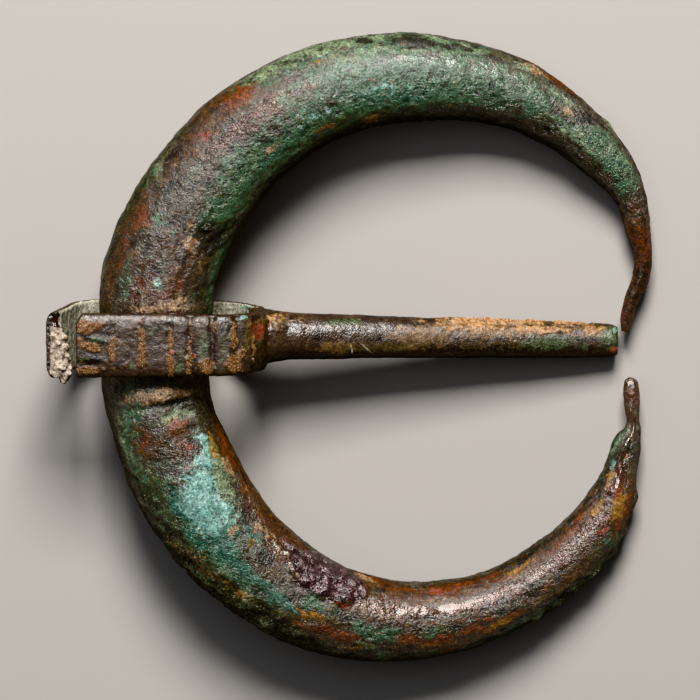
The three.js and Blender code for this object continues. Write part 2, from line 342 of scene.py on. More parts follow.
# The hoop: a crescent that is thickest under the pin's loop and thins to two broken ends. A place
# on it is u, the run in mm from beside the pin, + to the upper end and - to the lower one, and v,
# the turn in degrees, 0 on top, + to the ring's outer edge and - to its inner one.
hoop = {
    "stations": [  # x, y and radius in mm from the pivot, from the upper end to the lower one
        (37.75, 0.1, 0.3), (37.85, 1.0, 0.5), (38.25, 2.6, 0.6), (39.0, 4.4, 0.69), (39.15, 6.4, 0.75),
        (38.75, 8.3, 1.0), (38.15, 10.9, 1.26), (36.2, 13.9, 1.88), (29.8, 18.85, 2.7), (22.05, 20.7, 3.42),
        (14.6, 19.95, 3.8), (8.1, 16.75, 4.1), (3.3, 11.7, 4.37), (0.35, 5.8, 4.48), (-0.25, -0.5, 4.5),
        (0.1, -5.6, 4.23), (2.5, -11.8, 4.4), (6.6, -17.45, 4.1), (12.7, -21.7, 3.74), (20.25, -23.25, 3.2),
        (27.85, -21.65, 2.72), (34.3, -17.1, 2.32), (36.65, -13.6, 1.92), (37.45, -11.0, 1.3),
        (38.0, -8.9, 1.13), (38.35, -8.0, 0.74), (38.4, -7.1, 0.55), (38.3, -5.4, 0.66),
        (38.25, -4.35, 0.62), (38.2, -3.9, 0.5), (38.2, -3.7, 0.3), (38.2, -3.64, 0.12),
    ],
    "lean": 0.1045636,  # radians that the ring leans about the vertical, so that its far end lies down
    "ringMiddle": (21.0, -1.0, 0),
    "steps": 20,  # points of the path from one station to the next
    "rings": 600,
    "sides": 160,
    "wornFlat": (-0.12, -3.6, 2.1, 150),  # where the loop rides: depth, from u, to u, width in v
    "crack": (-0.30, -5.1, 0.34, -8, 66),  # height, u, width, v, width in v, as in the next lists
    "jaggedRims": [(0.20, -4.3, 0.8, 0, 95), (0.14, -7.1, 0.5, -14, 50)],  # beside the crack
    "rims": [
        (0.10, 2.9, 0.8, 0, 80), (-0.14, -61.3, 0.7, -80, 130),  # the loop's upper rim, the neck's notch
        (-0.09, -53.4, 0.35, -20, 90), (-0.09, -54.1, 0.35, -20, 90), (-0.09, -54.9, 0.35, -20, 90),
    ],
    "raised": [  # height in mm, and its spots
        (0.18, [(48.3, 82, 1.2, 18)]),  # a nub on the outer edge
        (0.28, [(-51.5, 84, 1.0, 26), (-52.9, 82, 0.8, 26), (-55.5, 85, 0.9, 30)]),  # torn places
        (0.14, [(8.3, -12, 3.4, 8, 62), (6.9, -24, 2.4, 7, 55)]),  # the lips of the hollow
    ],
    "dent": [(-6.1, -17, 1.7, 34)],  # below the crack
    "hollow": [(9.5, -35, 3.0, 50)],  # above the loop
    "scab": [(-23.2, -45, 4, 22), (-25.4, -34, 5, 38), (-27.6, -44, 5, 54), (-26, -62, 5, 24)],
    "rocky": [(-20, 56, 18, 66), (-47, 70, 9, 44)],
    # two ridges that wind along the hoop: their u, and the v that they pass there
    "torn": ((-28, -24, -22, -20, -18, -16, -12), (-26, -21, -36, -43, -48, -54, -62)),
    "twist": ((-62.5, -61, -60, -58, -57, -55), (-25, 0, -8, -25, -5, -10)),
    "rubbed": [  # places that handling has made smooth
        (-36, -23, 16, 19), (-46, -19, 12, 15, 0, 0.6), (-52, -12, 6, 14, 0, 0.4), (34, 28, 18, 14, 0, 0.75),
        (21, 24, 16, 13, 0, 0.6), (-58, -5, 4, 40, 0, 0.9), (-64.4, 0, 1.6, 90, 0, 0.9),
    ],
    # where each product lies, from the upper end to the lower one, and how much of it is scattered
    # everywhere as freckles: the least value of its field
    "spots": {
        "pink": [  # brown-pink bare skin
            (60, 0, 10, 360, 0, 0.9), (47, 30, 4, 20, 0, 0.6), (19.5, 22, 11, 24, 0, 0.8),
            (15, 42, 10, 14, 0, 0.5), (3.5, 5, 5, 70, 0, 0.9), (-8, -10, 3, 30, 0, 0.8),
            (-20, -28, 5, 24, 0, 0.8), (-22, -55, 14, 34), (-31, -40, 8, 34), (-38, -22, 22, 26),
            (-48, -20, 12, 30), (-54, -10, 10, 50), (-63, 0, 4, 360, 0, 0.85),
        ],
        "green": [  # green carbonate skin
            (53, 0, 2, 90), (50.5, 5, 4, 20), (49.5, 10, 6, 70), (46, -4, 7, 22),
            (41, 0, 10, 70, 0, 0.75), (33.5, 58, 9, 44), (33, 2, 20, 90), (29, 28, 10, 56),
            (24, 50, 10, 24, 0, 0.6), (23, -10, 12, 30, 0, 0.62), (18, -28, 16, 44),
            (16.5, -6, 8, 22, 0, 0.75), (14, 20, 3, 14, 0, 0.5), (11.3, 62, 1.2, 18),
            (9, 28, 1.6, 18, 0, 0.8), (8, -62, 11, 16, 0, 0.9), (7, -78, 5, 20), (5, 5, 2, 20, 0, 0.6),
            (4.5, 42, 3, 16, 0, 0.8), (4, -70, 5, 16), (-5, 30, 4, 40, 0, 0.6), (-7, 48, 5, 30),
            (-7.8, 50, 5, 26), (-17, 22, 14, 40, 0, 0.85), (-20, 60, 18, 60, 0, 0.55),
            (-26.5, -8, 3, 18), (-31, -50, 1.4, 14), (-31.5, 12, 4, 20), (-32, 10, 4, 14),
            (-36, 10, 2, 6), (-36, 2, 9, 10, 0, 0.5), (-43, 66, 11, 44, 0, 0.8),
            (-45.5, 20, 5, 16, 0, 0.6), (-51.5, 24, 3, 16, 0, 0.8), (-52.5, 50, 2, 40),
            (-59, -60, 3, 40),
        ],
        "olive": [  # thin olive bloom
            (50, 30, 6, 60, 0, 0.6), (43, 30, 8, 40, 0, 0.6), (35, 60, 10, 30, 0, 0.7),
            (22, 66, 8, 24, 0, 0.8), (20, -40, 30, 50, 0, 0.85), (14, -15, 8, 24, 0, 0.6),
            (10, 75, 10, 30, 0, 0.8), (8, -75, 8, 24), (-12, 40, 10, 50, 0, 0.75),
            (-13, -35, 5, 24, 0, 0.8), (-25, 25, 8, 26, 0, 0.7), (-36, 10, 6, 14, 0, 0.7),
            (-46, 60, 12, 40, 0, 0.7),
        ],
        "palegreen": [  # yellow-green to whitish crust
            (51, 30, 3, 30, 0, 0.6), (48.3, 80, 1.2, 20), (46.5, -8, 6, 14, 0, 0.8),
            (44, 40, 3, 20, 0, 0.8), (40.5, 55, 1.6, 16), (37, 55, 2.6, 24), (36.5, 62, 1.6, 22, 0, 0.9),
            (34, 75, 2.6, 16), (30, 44, 10, 16, 0, 0.6), (26, 76, 13, 20), (25, 68, 11, 30, 0, 0.95),
            (16, -22, 5, 14, 0, 0.6), (12, 62, 3, 24, 0, 0.6), (6, 62, 0.8, 8), (-6.3, -12, 1.3, 36),
            (-6.4, 53, 1.0, 8, 0, 0.95), (-6.8, 38, 0.7, 5, 0, 0.9), (-7, 58, 4, 10, 0, 0.8),
            (-8.3, 47, 0.9, 7, 0, 0.95), (-9.5, 40, 2, 8, 0, 0.7), (-9.6, 55, 1.0, 6, 0, 0.9),
            (-11, -38, 4, 22), (-12.5, 44, 3, 18, 0, 0.65), (-12.5, -32, 5, 14),
            (-15, -22, 4, 16, 0, 0.7), (-18, 60, 8, 40, 0, 0.55), (-19, -20, 4, 12, 0, 0.5),
            (-22, 50, 10, 10, -12, 0.6), (-23, 46, 4, 18, 0, 0.6), (-23, -18, 5, 14, 0, 0.62),
            (-31.5, 32, 2.4, 12, 0, 0.8), (-33, 56, 2, 10, 0, 0.8), (-33, 48, 1.6, 8), (-36, 48, 3, 14),
            (-59, -58, 1.4, 26, 0, 0.9),
        ],
        "turquoise": [  # thick pale carbonate, and its stray dots
            (30, -8, 8, 16, 0, 0.5), (24, -16, 6, 14, 0, 0.45), (4.7, 5, 0.9, 10, 0, 0.75),
            (-9.2, -32, 2.0, 8), (-10.8, -25, 2.6, 14), (-12.4, -8, 2.8, 36),
            (-13.2, 16, 2.6, 20, 0, 0.9), (-14.2, 0, 2.8, 40), (-15, -18, 2.4, 18), (-15.8, 0, 2.0, 30),
            (-57.5, -40, 0.8, 20),
        ],
        "teal": [  # darker blue-green skin round the turquoise, and down to its tail
            (32, -22, 14, 18, 0, 0.5), (18, -30, 10, 20, 0, 0.5), (-8, 40, 2, 20, 0, 0.6),
            (-12.5, 24, 4, 14, 0, 0.8), (-15.5, 26, 4, 14, 0, 0.9), (-17, -8, 3, 16, 0, 0.7),
            (-17.5, 10, 3.2, 26), (-18.5, -25, 5, 12, 0, 0.8), (-19.6, 9, 3.0, 22), (-21.6, 4, 2.4, 12),
            (-23.6, 14, 3.2, 16), (-26.5, -8, 2.4, 10, 0, 0.6),
        ],
        "ochre": [  # yellow-brown limonite
            (42, 60, 2, 14, 0, 0.6), (28.3, -46, 1.6, 14, 0, 0.9), (26, 46, 3, 8, 0, 0.5),
            (24, -38, 3, 8, 0, 0.7), (-10, -42, 3, 10, 0, 0.8), (-12.4, -47, 1.6, 8, 0, 0.9),
            (-15.5, 58, 3, 14, 0, 0.6), (-17.5, 44, 5, 20, 0, 0.56), (-18.6, -37, 2.4, 6, 0, 0.9),
            (-19, -22, 1, 8, 0, 0.7), (-20.5, 38, 4, 16, 0, 0.6), (-26.5, 8, 3, 10, 0, 0.9),
            (-30, 40, 3, 12, 0, 0.6), (-36, 32, 2, 12, 0, 0.6), (-41.5, 26, 2.6, 14, 0, 0.8),
            (-45, -50, 3, 8, 0, 0.8), (-47, 34, 3, 12, 0, 0.6), (-53.6, -30, 2.6, 16, 0, 0.8),
            (-54.5, 14, 2.6, 34, 0, 0.9), (-56.4, -35, 2, 20, 0, 0.8),
        ],
        "earth": [  # brown iron-stained earth
            (60, 0, 9, 360, 0, 0.25), (56, 0, 5, 140, 0, 0.4), (43.5, 72, 3.4, 26), (41, 84, 4, 14),
            (18, 70, 5, 30, 0, 0.7), (17.5, 74, 4, 20), (14, 52, 10, 26, 0, 0.8), (8.8, 50, 3, 20),
            (8, -30, 4, 50, 0, 0.7), (6, 62, 8, 24), (6, 0, 9, 150, 0, 0.5), (-7.5, 30, 3, 30),
            (-7.5, -10, 2.2, 30), (-11.5, -72, 9, 34), (-14.5, -62, 4, 20), (-18, -68, 12, 30, 0, 0.8),
            (-22.5, -18, 6, 24, 0, 0.6), (-27, 25, 7, 30, 0, 0.7), (-29.5, -10, 5, 14, 0, 0.66),
            (-31, -72, 5, 24), (-36, 30, 8, 34, 0, 0.8), (-36, -48, 16, 34, 0, 0.95),
            (-37, 0, 10, 10, 0, 0.75), (-42, 28, 6, 26, 0, 0.8), (-42, -70, 16, 20, 0, 0.8),
            (-46, -44, 12, 26, 0, 0.95), (-48, 20, 12, 40, 0, 0.7), (-50, -52, 14, 40, 0, 0.85),
            (-54, -40, 6, 30, 0, 0.9), (-54.5, 30, 5, 70), (-63, 0, 4, 360, 0, 0.4),
        ],
        "rust": [  # orange iron spots
            (57.4, 5, 7, 40, 0, 0.5), (43.8, 74, 2.0, 14, 0, 0.8), (19.4, 53, 2.6, 28),
            (8.9, 44, 2.0, 10), (6.3, 56, 2, 8, 0, 0.7), (4.8, -20, 1.6, 12, 0, 0.8),
            (-6.9, -14, 0.9, 30, 0, 0.9), (-7.4, 30, 1.2, 12, 0, 0.8), (-9.8, -66, 2.2, 12),
            (-11.2, -60, 3.4, 12), (-14.5, -55, 1.6, 8, 0, 0.8), (-25.8, 12, 1, 8), (-27.6, 27, 4, 10),
            (-29.4, 24, 2.6, 18), (-31, -76, 4, 14), (-34, -58, 6, 10, 0, 0.7), (-34, 14, 1.8, 14),
            (-35.5, 20, 4, 8, 10), (-36.6, 24, 2.6, 10), (-37, -56, 1.6, 10, 0, 0.9),
            (-37, 50, 2, 14, 0, 0.8), (-38.6, -58, 2, 18, 0, 0.9), (-39, -60, 5, 12, 0, 0.9),
            (-39.2, 20, 2.6, 14), (-40.5, 6, 1.4, 10, 0, 0.8), (-42.5, -60, 2, 30, 0, 0.85),
            (-42.6, 22, 2, 16), (-43.6, -42, 1.5, 9, 0, 0.8), (-45.6, 8, 1.2, 8, 0, 0.7),
            (-49, -40, 2.4, 10, 0, 0.8), (-51.2, -46, 2.6, 24), (-54, 35, 3, 24),
        ],
        "coral": [  # red cuprite showing through
            (16, 42, 1.0, 8, 0, 0.9), (15.6, 49, 0.6, 6, 0, 0.9), (4.2, 22, 1, 8, 0, 0.7),
            (-8.9, -15, 1.3, 10, 0, 0.6), (-28.5, -15, 1.6, 8, 0, 0.8), (-36.8, -56, 1, 8, 0, 0.9),
            (-52, 8, 0.9, 12), (-55.5, 0, 1.0, 18, 0, 0.8),
        ],
        "cream": [  # pale limy earth
            (45, 22, 1.2, 12, 0, 0.9), (41.4, 64, 2, 20, 0, 0.7), (19, -20, 1.2, 10, 0, 0.7),
            (10, -3, 1.6, 14, 0, 0.6), (8.9, -14, 0.6, 20, 0, 0.9), (8.3, -12, 0.9, 20, 0, 0.8),
            (7, -35, 1, 9, 0, 0.8), (3.4, -18, 1.0, 26, 0, 0.8), (2.8, 0, 0.8, 70, 0, 0.75),
            (-4.3, -2, 1.0, 76), (-6.4, -8, 0.9, 26, 0, 0.55), (-12.3, -48, 1.8, 9),
            (-17, -8, 0.7, 8, 0, 0.9), (-18, -35, 1.1, 11, 0, 0.9), (-30.2, -70, 2.4, 10, 0, 0.9),
            # the two small spots at the neck, u -58.5 and -60, are a painted highlight along the twist
            (-37, -44, 14, 10, 0, 0.4), (-45, -40, 6, 10, 0, 0.4), (-58.5, -5, 0.5, 12, 0, 0.8),
            (-60, 0, 0.5, 12, 0, 0.8),
        ],
        "darkOxideAndShade": [  # dark oxide, rock-like accretion and dirt; the wide spots on the top arc's inner side and along the lower arc's edges are painted shade
            (61, 0, 9, 360, 0, 0.6), (46.5, 35, 1.6, 30), (46.4, 30, 1.4, 34), (45, 10, 6, 24, 0, 0.6),
            (44.8, -68, 8, 20), (40, -62, 24, 60, 0, 0.95), (38.5, 46, 1.8, 12, 0, 0.85),
            (36.3, 54, 1.2, 14), (35.5, 58, 2, 18), (34.6, 58, 1.4, 12, 0, 0.9), (32.5, 64, 3.4, 26),
            (32.4, 50, 2.4, 10, 0, 0.95), (29, 66, 1.6, 22), (27.5, -44, 3, 8, 0, 0.8),
            (24, 60, 3, 14, 0, 0.6), (20, -38, 3, 10, 0, 0.7), (20, -70, 20, 44, 0, 0.85),
            (17, 62, 6, 16, 0, 0.6), (13.5, 58, 3, 16, 0, 0.8), (11.5, 34, 3, 16, 0, 0.8),
            (10, 74, 16, 22, 0, 0.66), (10, 70, 8, 30, 0, 0.6), (9.5, -35, 3.2, 46),
            (5.6, 10, 2.4, 24, 0, 0.7), (5, -45, 3, 30, 0, 0.7), (-4.8, -8, 0.4, 56),
            (-14, 50, 2, 14, 0, 0.8), (-20, 80, 22, 44, 0, 0.85), (-20.3, -22, 2, 14),
            (-24.5, 34, 2.4, 20, 0, 0.8), (-25, 42, 8, 24, 0, 0.6), (-27, 8, 3, 16, 0, 0.8),
            (-30, -78, 12, 24, 0, 0.7), (-31.5, -50, 3, 12, 0, 0.7), (-31.6, 24, 3.4, 8, 15, 0.9),
            (-33.5, 34, 2, 12, 0, 0.8), (-34.5, 2, 1.6, 5, 0, 0.8), (-37.2, -6, 1.8, 5, 0, 0.8),
            (-39.5, 12, 1.6, 6, 0, 0.7), (-40.5, -14, 0.8, 10, 0, 0.8), (-41, 52, 2.4, 16, 0, 0.8),
            (-46, -60, 4, 16, 0, 0.8), (-46, 24, 1.6, 12, 0, 0.8), (-46, -68, 26, 30, 0, 0.7),
            (-46, 64, 9, 36, 0, 0.7), (-51, 36, 1.6, 14, 0, 0.8), (-56, -50, 8, 40, 0, 0.7),
        ],
    },
    "freckles": {
        "green": 0.22, "olive": 0.24, "earth": 0.22, "rust": 0.10, "coral": 0.08, "cream": 0.10,
        "palegreen": 0.16, "darkOxideAndShade": 0.40, "pink": 0.2, "teal": 0.12, "ochre": 0.14,
    },
    # Cast bronze turned to patina: the metal lay buried until its skin became copper carbonates and
    # oxides, and it was rubbed and waxed since. The eye sees a dark, finely pitted and mottled skin
    # with a soft sheen on its rubbed places, under matt green, turquoise, rust and earth.
    "finish": {
        "name": "corrodedBronzePatina",
        "clouds": 1.4, "deep": "#15110b", "pale": "#665e52", "rough": (0.26, 0.42),
        "metal": 0.5, "wax": 0.85, "richness": 1.12,
        "speckle": 0.18, "flecks": (0.1, 2.1),
        "pitting": 0.5, "pitDepth": 0.22, "grit": 0.17, "gritDepth": 0.1,
        "products": [  # as layProduct takes them apart
            ("pink", "#2c1a10", "#7f5a50", 0.26, 0.4, 0.85, 1.2, 0.9, 0.2, 0.8),
            ("olive", "#1a230f", "#525d34", 0.42, 0.0, 0.85, 0.6, 1.1, 0.16, 0.5),
            ("green", "#243d2b", "#65896c", 0.36, 0.0, 0.85, 0.9, 1.1, 0.18, 0.8),
            ("palegreen", "#52604a", "#9db08f", 0.46, 0.0, 0.85, 0.6, 1.1, 0.14, 0.4),
            ("turquoise", "#537f74", "#98bdb4", 0.46, 0.0, 0.92, 0.7, 0.9, 0.14, 0.7),
            ("teal", "#203f33", "#55806f", 0.4, 0.0, 0.9, 0.6, 1.0, 0.14, 0.5),
            ("earth", "#25140a", "#65401f", 0.48, 0.0, 0.85, 0.6, 1.1, 0.16, 0.45),
            # near-black: dark oxide, and painted shade where the wide dark spots lie
            ("darkOxideAndShade", "#080705", "#242318", 0.36, 0.0, 0.95, 0.8, 1.0, 0.14, 0.6),
            ("rust", "#3c1a08", "#753c18", 0.5, 0.0, 0.92, 0.5, 0.9, 0.14, 0.4),
            ("ochre", "#5c3c12", "#a3793a", 0.5, 0.0, 0.85, 0.5, 1.0, 0.14, 0.4),
            ("coral", "#5c241b", "#9a5140", 0.42, 0.0, 0.85, 0.35, 0.9, 0.16, 0.3),
            ("cream", "#66503a", "#b59b7e", 0.55, 0.0, 0.85, 0.4, 0.9, 0.14, 0.3),
            ("scab", "#1c1111", "#5f4b4b", 0.24, 0.4, 1.0, 0.6, 0.5, 0.08, 0.8),
        ],
    },
}


def smoothPath(stations, steps):  # centripetal Catmull-Rom through the stations
    points = np.array(stations)
    ends = [2 * points[0] - points[1], *points, 2 * points[-1] - points[-2]]
    path = []
    for before, start, stop, after in zip(ends, ends[1:], ends[2:], ends[3:]):
        gaps = (start - before, stop - start, after - stop)
        ta, tb, tc = (np.linalg.norm(gap) ** 0.5 for gap in gaps)
        leave = ((start - before) / ta - (stop - before) / (ta + tb) + (stop - start) / tb) * tb
        arrive = ((stop - start) / tb - (after - start) / (tb + tc) + (after - stop) / tc) * tb
        for t in np.arange(steps) / steps:
            path.append((2 * t**3 - 3 * t**2 + 1) * start + (t**3 - 2 * t**2 + t) * leave
                        + (3 * t**2 - 2 * t**3) * stop + (t**3 - t**2) * arrive)
    return np.array(path + [points[-1]])


def leanOver(points):  # from the ring's own plane to the frame, in mm
    cos, sin = math.cos(hoop["lean"]), math.sin(hoop["lean"])
    x, y, z = points.T
    return np.column_stack([x * cos + z * sin, y, z * cos - x * sin]) + pivot


def crescentTree():  # a circle swept along the path and scaled by its radius
    tree, entry, out = newTree("crescentSweep", {
        "Rings": ("NodeSocketInt", 100), "Sides": ("NodeSocketInt", 32),
        "Skin": ("NodeSocketMaterial", None),
    })
    rings = addNode(tree, "GeometryNodeResampleCurve", {
        "Curve": entry.outputs["Geometry"], "Count": entry.outputs["Rings"]}, mode="COUNT")
    length = addNode(tree, "GeometryNodeSplineParameter").outputs["Length"]
    named = addNode(tree, "GeometryNodeStoreNamedAttribute", {
        "Geometry": rings.outputs[0], "Name": "travel", "Value": length}, data_type="FLOAT", domain="POINT")
    upright = addNode(tree, "GeometryNodeSetCurveNormal", {0: named.outputs[0]}, mode="Z_UP")
    circle = addNode(tree, "GeometryNodeCurvePrimitiveCircle", {
        "Resolution": entry.outputs["Sides"], "Radius": 1.0}, mode="RADIUS")
    radius = addNode(tree, "GeometryNodeInputRadius").outputs[0]
    swept = addNode(tree, "GeometryNodeCurveToMesh", {
        "Curve": upright.outputs[0], "Profile Curve": circle.outputs[0], "Scale": radius, "Fill Caps": True})
    smooth = addNode(tree, "GeometryNodeSetShadeSmooth", {0: swept.outputs[0]})
    real = addNode(tree, "GeometryNodeRealizeInstances", {0: smooth.outputs[0]})
    skin = addNode(tree, "GeometryNodeSetMaterial", {
        "Geometry": real.outputs[0], "Material": entry.outputs["Skin"]})
    tree.links.new(skin.outputs[0], out.inputs[0])
    return tree


def hoopPath():  # the middle line, its radii, the way along it, and how far along the pin sits
    flat = smoothPath(hoop["stations"], hoop["steps"])
    strides = np.linalg.norm(np.diff(flat[:, :2], axis=0), axis=1)
    travel = np.concatenate([[0], np.cumsum(strides)])
    level = np.where(flat[:, 0] < 10, np.abs(flat[:, 1]), 99).argmin()  # beside the pivot
    centres = leanOver(np.column_stack([flat[:, :2], np.zeros(len(flat))]))
    return centres, flat[:, 2], travel, travel[level]


def sweepHoop(centres, radii):  # the bare crescent as a plain mesh
    curve = bpy.data.curves.new("hoopPath", "CURVE")
    curve.dimensions = "3D"
    spline = curve.splines.new("POLY")
    spline.points.add(len(centres) - 1)
    for point, place, radius in zip(spline.points, centres * mm, radii * mm):
        point.co = (*place, 1)
        point.radius = radius
    source = linkObject("hoopPath", curve)
    skin = makeCorroded(hoop["finish"])
    useTree(source, crescentTree(), {"Rings": hoop["rings"], "Sides": hoop["sides"], "Skin": skin})
    return bakeToMesh(source, "hoopBronze")


def placesOnHoop(along, points, centres, radii, travel):  # v, the local radius, the way outwards
    tangent = np.gradient(centres, travel, axis=0)
    tangent /= np.linalg.norm(tangent, axis=1)[:, None]
    front = leanOver(np.array([[0, 0, 1.0]]))[0] - pivot
    outer = np.cross(front, tangent)
    ringMiddle = leanOver(np.array([hoop["ringMiddle"]]))[0]
    outer *= np.sign(((centres - ringMiddle) * outer).sum(1))[:, None]
    middle = np.column_stack([np.interp(along, travel, centres[:, i]) for i in range(3)])
    side = np.column_stack([np.interp(along, travel, outer[:, i]) for i in range(3)])
    offset = points - middle
    away = offset / np.maximum(np.linalg.norm(offset, axis=1), 1e-6)[:, None]
    v = np.degrees(np.arctan2((offset * side).sum(1), offset @ front))
    return v, np.interp(along, travel, radii), away


def productsOnHoop(points, u, v, reach):  # spots whose edges wander, and freckles everywhere
    warpU = u + 0.45 * wander(points, 1.6, 3, 11) * ramp(0.3, 1.5, reach)
    warpV = v + 9 * wander(points, 1.6, 3, 12)
    fields = {name: np.maximum(spread(spots, warpU, warpV), hoop["freckles"].get(name, 0))
              for name, spots in hoop["spots"].items()}
    for name in ("green", "olive", "palegreen", "teal"):  # the bare wire has no green
        fields[name] *= 1 - ramp(52, 56, u)
    fields["scab"] = spread(hoop["scab"], u, v)
    return fields


def marksOnHoop(points, u, v, fields):  # what is both relief and colour, each from 0 to 1
    jagged = u + 0.25 * wander(points, 0.9, 3, 15)
    crackAt, crackWidth, crackTurn, crackSpan = hoop["crack"][1:]
    torn = bell(v + 2.5 * wander(points, 1.0, 3, 18), np.interp(u, *hoop["torn"]), 7)
    twist = bell(v, np.interp(u, *hoop["twist"]), 20)
    return {
        "crack": bell(jagged, crackAt, crackWidth) * bell(v, crackTurn, crackSpan),
        "scab": ramp(0.42, 0.58, fields["scab"] + 0.18 * wander(points, 1.0, 3, 7)),
        "skin": ramp(0.4, 0.6, fields["turquoise"] + 0.2 * wander(points, 0.8, 3, 16)),
        "torn": torn * ramp(-29, -26, u) * ramp(-12, -15, u),
        "twist": twist * ramp(-62.8, -62, u) * ramp(-55, -56, u),
        "rocky": spread(hoop["rocky"], u, v),
        "crags": wander(points, 1.3, 4, 9),  # from -1 to 1
        "jagged": jagged,  # u with a ragged edge
    }


def reliefOfHoop(points, u, v, reach, marks):  # the height in mm, and its fine part
    slender = ramp(0.3, 2.5, reach)  # the thin ends take less relief
    lump = 0.10 * wander(points, 5.0, 3, 1) * slender
    knobbly = 0.065 * wander(points, 1.7, 4, 2) * (0.35 + 0.65 * slender)
    pitted = -0.10 * ramp(0.25, 0.8, wander(points, 1.1, 3, 3)) * (0.3 + 0.7 * slender)
    grainy = 0.045 * wander(points, 0.5, 3, 4)
    rise = lump + knobbly + pitted + grainy
    depth, start, stop, span = hoop["wornFlat"]
    worn = ramp(start - 0.3, start + 0.3, u) * ramp(stop + 0.3, stop - 0.3, u)
    rise += depth * worn * bell(v, 0, span)
    for place, rims in ((marks["jagged"], hoop["jaggedRims"]), (u, hoop["rims"])):
        for height, at, width, turn, span in rims:
            rise += height * bell(place, at, width) * bell(v, turn, span)
    for height, spots in hoop["raised"]:
        rise += height * spread(spots, u, v)
    rise += hoop["crack"][0] * marks["crack"]
    rise += -0.16 * ramp(0.35, 0.65, spread(hoop["dent"], marks["jagged"], v))
    rise += (-0.30 + 0.25 * wander(points, 0.8, 3, 6)) * spread(hoop["hollow"], u, v)
    rise += marks["scab"] * (0.20 + 0.15 * wander(points, 0.9, 3, 8) + 0.15 * wander(points, 0.4, 2, 17))
    rise += 0.30 * marks["rocky"] * marks["crags"] * slender
    rise += 0.14 * marks["torn"] + 0.06 * marks["skin"] + 0.17 * marks["twist"]
    return rise, knobbly + pitted + 1.5 * grainy


def colourMarks(fields, marks):  # what the crack, the crags and the torn edge do to the products
    crack, rocky, crags = marks["crack"], marks["rocky"], marks["crags"]
    cream = fields["cream"] * (1 - crack)
    cream = np.maximum(cream, 0.7 * rocky * ramp(0.4, 0.75, crags))
    # painted highlight: the torn ridge's crest is painted pale, as well as raised and polished
    fields["cream"] = np.maximum(cream, 0.5 * marks["torn"])
    fields["palegreen"] = np.maximum(fields["palegreen"], 0.85 * rocky * ramp(0.15, 0.55, crags))
    darkOxideAndShade = np.maximum(fields["darkOxideAndShade"], 1.1 * crack)
    darkOxideAndShade *= 1 - 0.9 * np.maximum(fields["turquoise"], 0.5 * fields["teal"])
    darkOxideAndShade *= 1 - rocky * ramp(0.0, 0.5, crags)
    fields["darkOxideAndShade"] = np.maximum(darkOxideAndShade, rocky * ramp(0.1, -0.4, crags))


def sheenOfHoop(mesh, u, v, fine, marks):  # painted shade, gloss, rubbed and calm places, and the fine relief
    scab = marks["scab"]
    sheen = paintedShadeAndWax(mesh)
    glossy = sheen["shine"] * (1 - 0.4 * ramp(52, 56, u))
    sheen["shine"] = np.maximum(glossy, scab * (0.3 + 0.7 * ramp(-28, -25, u)))
    risen = np.maximum(scab, np.maximum(marks["torn"], marks["twist"]))
    sheen["polish"] = np.maximum(spread(hoop["rubbed"], u, v), risen)
    calm = np.maximum(sheen["polish"] * (1 - 0.55 * scab), 0.85 * marks["skin"])
    calm = np.maximum(calm, ramp(54, 57, u))
    sheen["calm"] = calm * (1 - 0.9 * bell(u, 17, 20))  # the upper bend keeps its crinkled skin
    sheen["relief"] = fine / 0.3 * (1 - 0.5 * sheen["calm"])
    return sheen


def buildHoop():
    centres, radii, travel, pinAt = hoopPath()
    piece = sweepHoop(centres, radii)
    mesh = piece.data
    points = readPoints(mesh)
    along = readField(mesh, "travel") / mm
    u = pinAt - along
    v, reach, away = placesOnHoop(along, points, centres, radii, travel)
    fields = productsOnHoop(points, u, v, reach)
    marks = marksOnHoop(points, u, v, fields)
    rise, fine = reliefOfHoop(points, u, v, reach, marks)
    colourMarks(fields, marks)
    points += away * rise[:, None]
    writePoints(mesh, points)
    fields["rocky"] = marks["rocky"] + 0.5 * wander(points, 1.2, 3, 14) * (marks["rocky"] > 0.2)
    fields.update(sheenOfHoop(mesh, u, v, fine, marks))
    for name, values in fields.items():
        writeField(mesh, name, values)
    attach(piece, "hoop")
    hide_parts("hoop")
    print("hoop built:", len(mesh.polygons), "faces")
    return piece


hoopPiece = buildHoop()


